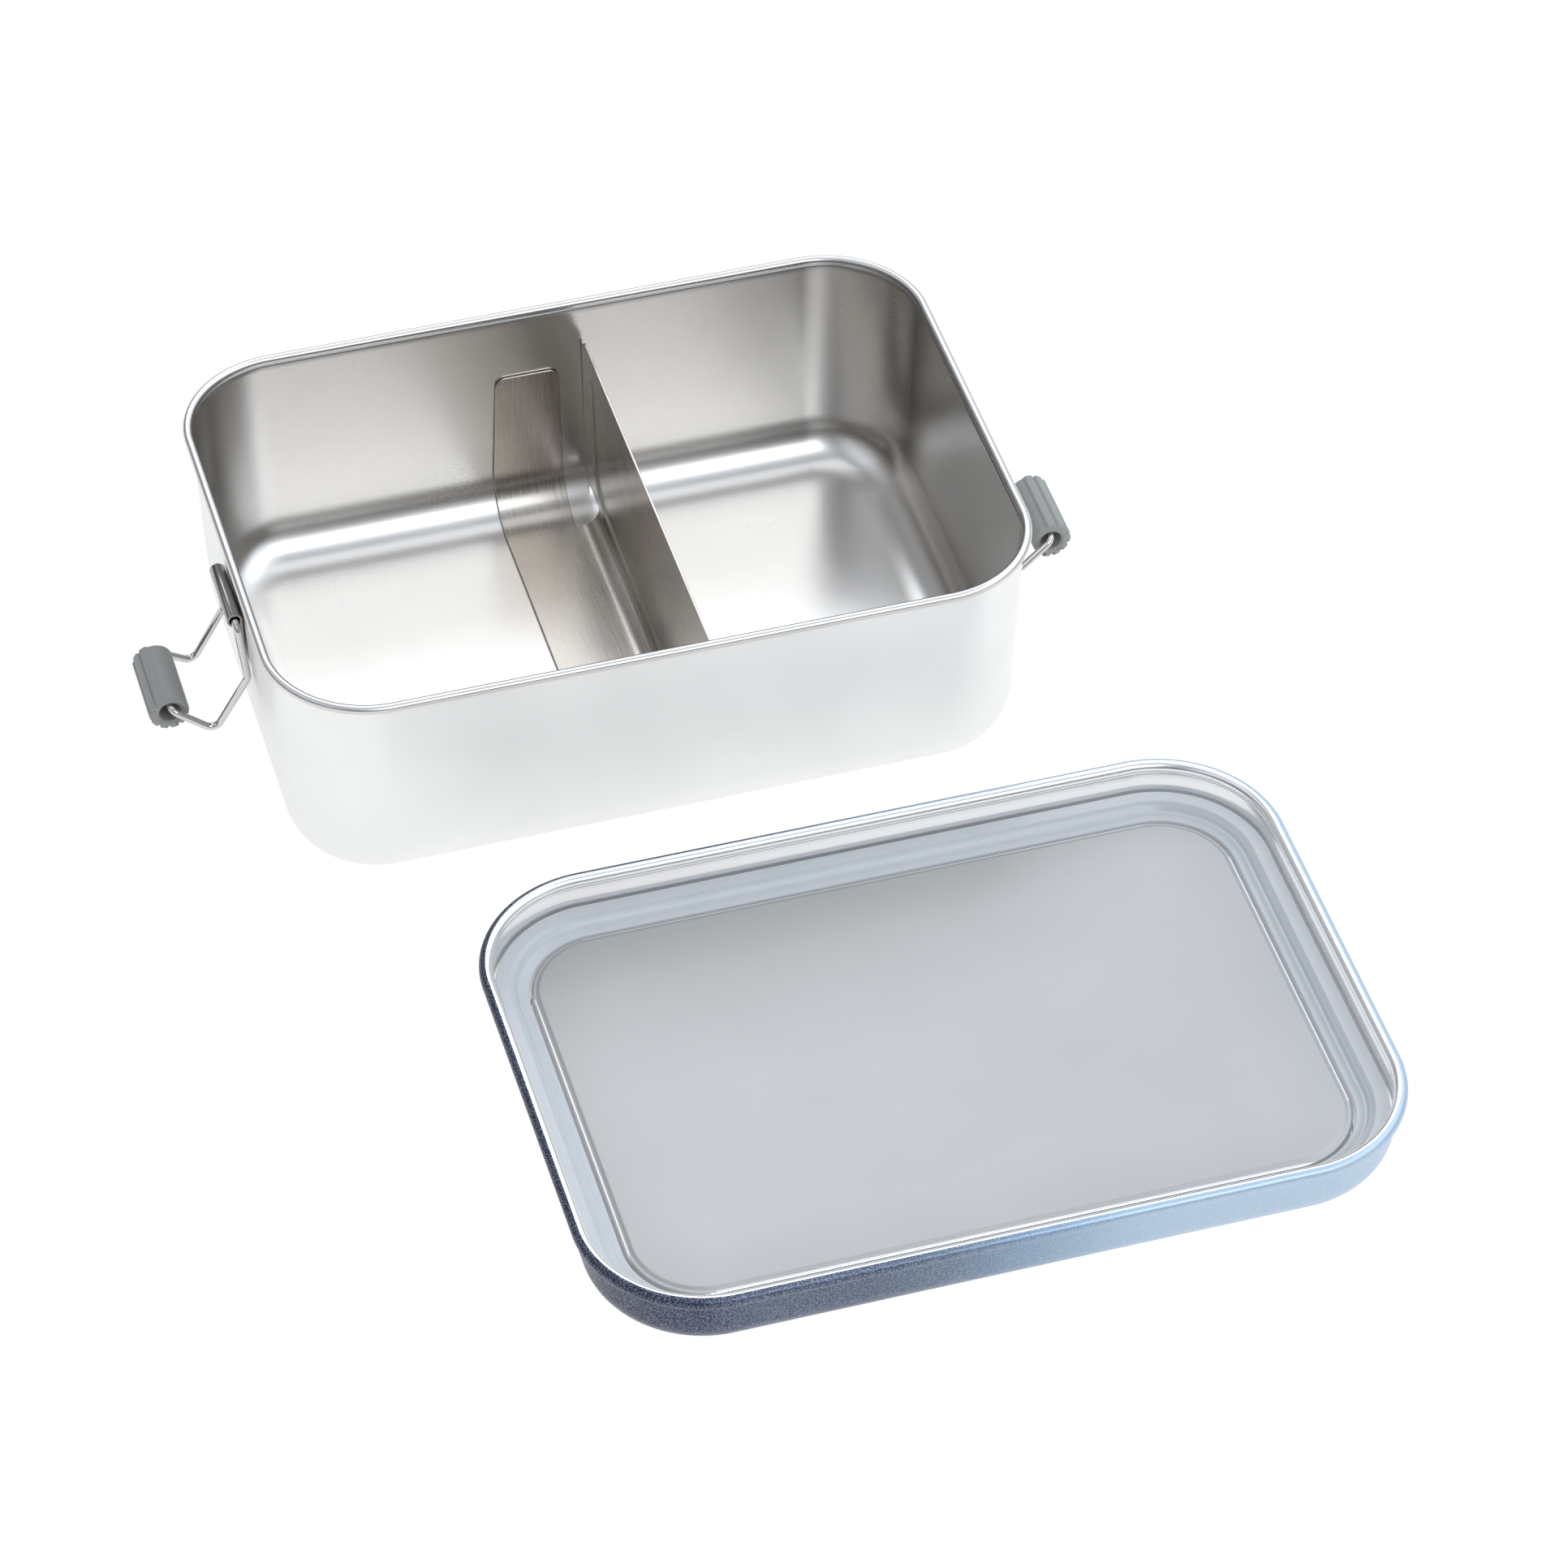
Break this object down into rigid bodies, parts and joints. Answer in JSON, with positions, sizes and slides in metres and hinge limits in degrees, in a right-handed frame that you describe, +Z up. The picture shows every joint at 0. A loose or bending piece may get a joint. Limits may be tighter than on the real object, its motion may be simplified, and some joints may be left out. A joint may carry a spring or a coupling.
{
  "type": "lunch box",
  "caption": "Rectangular stainless steel lunch box with a bent-sheet divider, wire bail latches with soft grips, and a painted lid with a seal ring lying beside it.",
  "frame": {"origin": "centre of the box's flat base, on the surface that it stands on", "axes": "+Z up, X along the box's length between the latches, -Y from the box towards the lid"},
  "size_m": [0.2397, 0.2806, 0.0588],
  "materials": {
    "box_steel": "satin drawn stainless steel, fine grain",
    "divider_steel": "brushed stainless sheet",
    "bracket_steel": "rolled stainless strip, semi-bright",
    "wire_steel": "bright drawn stainless wire",
    "lid_paint": "pearl blue metallic paint outside, satin steel inside",
    "seal_silicone": "translucent pale blue silicone",
    "grip_silicone": "matte grey silicone"
  },
  "bodies": {
    "box": {"box_body": "box_steel", "left_bracket": "bracket_steel", "right_bracket": "bracket_steel"},
    "divider": {"divider": "divider_steel"},
    "lid": {"lid_shell": "lid_paint"},
    "seal": {"lid_seal": "seal_silicone"},
    "left_bail": {"left_bail": "wire_steel"},
    "right_bail": {"right_bail": "wire_steel"},
    "left_grip": {"left_grip": "grip_silicone"},
    "right_grip": {"right_grip": "grip_silicone"}
  },
  "joints": [
    {"name": "divider_lift", "type": "slide", "parent": "box", "child": "divider", "axis": [0, 0, 1], "range_m": [0, 0.07]},
    {"name": "lid_lift", "type": "slide", "parent": "box", "child": "lid", "axis": [0, 0, 1], "range_m": [0, 0.08]},
    {"name": "seal_pull", "type": "slide", "parent": "lid", "child": "seal", "axis": [0, 0, 1], "range_m": [0, 0.02]},
    {"name": "left_bail_swing", "type": "hinge", "parent": "box", "child": "left_bail", "pos_m": [-0.0898, 0, 0.0435], "axis": [0, 1, 0], "range_deg": [0, 175]},
    {"name": "right_bail_swing", "type": "hinge", "parent": "box", "child": "right_bail", "pos_m": [0.0898, 0, 0.0435], "axis": [0, -1, 0], "range_deg": [0, 175]},
    {"name": "left_grip_turn", "type": "hinge", "parent": "left_bail", "child": "left_grip", "pos_m": [-0.1064, 0, 0.0195], "axis": [0, 1, 0], "continuous": true},
    {"name": "right_grip_turn", "type": "hinge", "parent": "right_bail", "child": "right_grip", "pos_m": [0.1064, 0, 0.0195], "axis": [0, -1, 0], "continuous": true}
  ]
}
